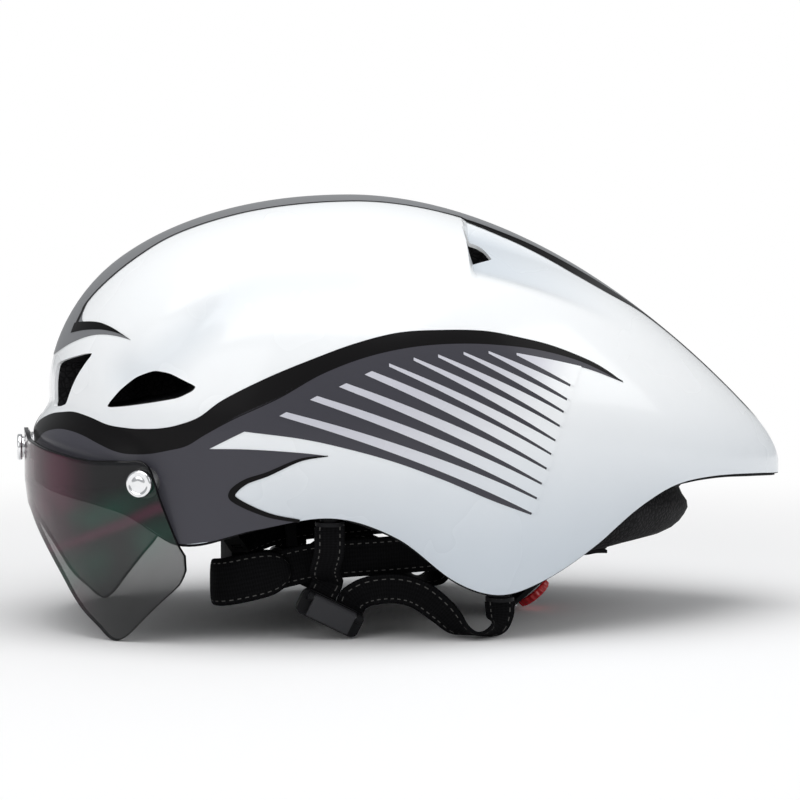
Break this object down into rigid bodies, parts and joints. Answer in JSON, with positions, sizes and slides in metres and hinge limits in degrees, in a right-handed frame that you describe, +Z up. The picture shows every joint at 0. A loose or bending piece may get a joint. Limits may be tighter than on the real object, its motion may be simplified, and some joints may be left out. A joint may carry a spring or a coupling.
{
  "type": "bicycle helmet",
  "caption": "Aero bicycle helmet with a long smooth shell, wrap-around magnetic visor, side scoops, webbing chin harness and a dial-driven rear cradle.",
  "frame": {"origin": "centre of the footprint on the surface that the helmet stands on", "axes": "+Z up, -Y towards the brow and the visor, +X towards the wearer's left"},
  "size_m": [0.2, 0.3396, 0.1841],
  "materials": {
    "shell_white": "white gloss lacquer",
    "foam_black": "beaded expanded foam, sealed",
    "pad_black": "brushed knit over soft foam",
    "lens_smoke": "smoke tint, hard coated",
    "button_chrome": "polished",
    "steel_plain": "zinc plated",
    "fitting_black": "moulded nylon",
    "lever_grey": "moulded nylon",
    "collar_clear": "frosted clear",
    "dial_red": "soft touch",
    "web_black": "woven, with a pale dashed stitch",
    "chin_grey": "brushed knit"
  },
  "bodies": {
    "root": {"outer_shell": "shell_white", "foam_liner": "foam_black", "brow_pad": "pad_black", "crown_pads": "pad_black", "side_pads": "pad_black", "magnet_seat_left": "lever_grey", "magnet_seat_right": "lever_grey", "magnet_seat_centre": "lever_grey", "ladder_anchor": "fitting_black", "buckle_female": "fitting_black", "chin_pad": "chin_grey", "strap_anchor_front_left": "fitting_black", "strap_anchor_front_right": "fitting_black", "strap_anchor_rear_left": "fitting_black", "strap_anchor_rear_right": "fitting_black", "temple_boss_left": "lever_grey", "temple_boss_right": "lever_grey", "front_strap_left": "web_black", "front_strap_right": "web_black", "rear_strap_left": "web_black", "rear_strap_right": "web_black", "chin_strap_left": "web_black", "chin_strap_right": "web_black", "strap_keeper_left": "fitting_black", "strap_keeper_right": "fitting_black", "divider_left": "fitting_black", "divider_right": "fitting_black", "cam_pin_left": "steel_plain", "cam_pin_right": "steel_plain"},
    "visor": {"visor_button_left": "button_chrome", "visor_button_right": "button_chrome", "visor_button_centre": "button_chrome", "visor_washer_left": "steel_plain", "visor_washer_right": "steel_plain", "visor_washer_centre": "steel_plain", "visor_lens": "lens_smoke"},
    "ring": {"ladder_strap": "fitting_black", "cradle_base": "fitting_black", "cradle_cover": "fitting_black", "cradle_screws": "steel_plain", "cradle_pad": "pad_black", "temple_arm_left": "fitting_black", "temple_arm_right": "fitting_black", "fit_band_left": "fitting_black", "fit_band_right": "fitting_black"},
    "rack_left_body": {"rack_left": "fitting_black"},
    "rack_right_body": {"rack_right": "fitting_black"},
    "dial": {"dial_pinion": "fitting_black", "dial_collar": "collar_clear", "dial_wheel": "dial_red"},
    "cam_left_body": {"cam_lever_left": "lever_grey"},
    "cam_right_body": {"cam_lever_right": "lever_grey"},
    "buckle_body": {"buckle_male": "fitting_black", "buckle_prongs": "fitting_black"}
  },
  "joints": [
    {"name": "visor_pull", "type": "slide", "parent": "root", "child": "visor", "axis": [0, -1, 0], "range_m": [0, 0.06]},
    {"name": "ring_tilt", "type": "hinge", "parent": "root", "child": "ring", "pos_m": [0, -0.07, 0.066], "axis": [1, 0, 0], "range_deg": [0, 4], "deforming": ["ladder_strap"]},
    {"name": "dial_turn", "type": "hinge", "parent": "ring", "child": "dial", "pos_m": [0, 0.0479, 0.0177], "axis": [0, 0.6428, -0.766], "range_deg": [-110, 70]},
    {"name": "rack_left_slide", "type": "slide", "parent": "ring", "child": "rack_left_body", "axis": [1, 0, 0], "range_m": [-0.0117, 0.0075], "deforming": ["fit_band_left"]},
    {"name": "rack_right_slide", "type": "slide", "parent": "ring", "child": "rack_right_body", "axis": [-1, 0, 0], "range_m": [-0.0117, 0.0075], "deforming": ["fit_band_right"]},
    {"name": "cam_left", "type": "hinge", "parent": "root", "child": "cam_left_body", "pos_m": [0.0715, -0.0415, 0.01374], "axis": [0, -0.891, 0.454], "range_deg": [0, 80]},
    {"name": "cam_right", "type": "hinge", "parent": "root", "child": "cam_right_body", "pos_m": [-0.0715, -0.0415, 0.01374], "axis": [0, 0.891, -0.454], "range_deg": [0, 80]},
    {"name": "buckle_slide", "type": "slide", "parent": "root", "child": "buckle_body", "axis": [-1, 0, 0], "range_m": [0, 0.03], "deforming": ["chin_strap_right", "buckle_prongs"]}
  ],
  "couplings": [
    {"joint": "rack_left_slide", "follows": "dial_turn", "m_per_rad": 0.006},
    {"joint": "rack_right_slide", "follows": "dial_turn", "m_per_rad": 0.006}
  ]
}
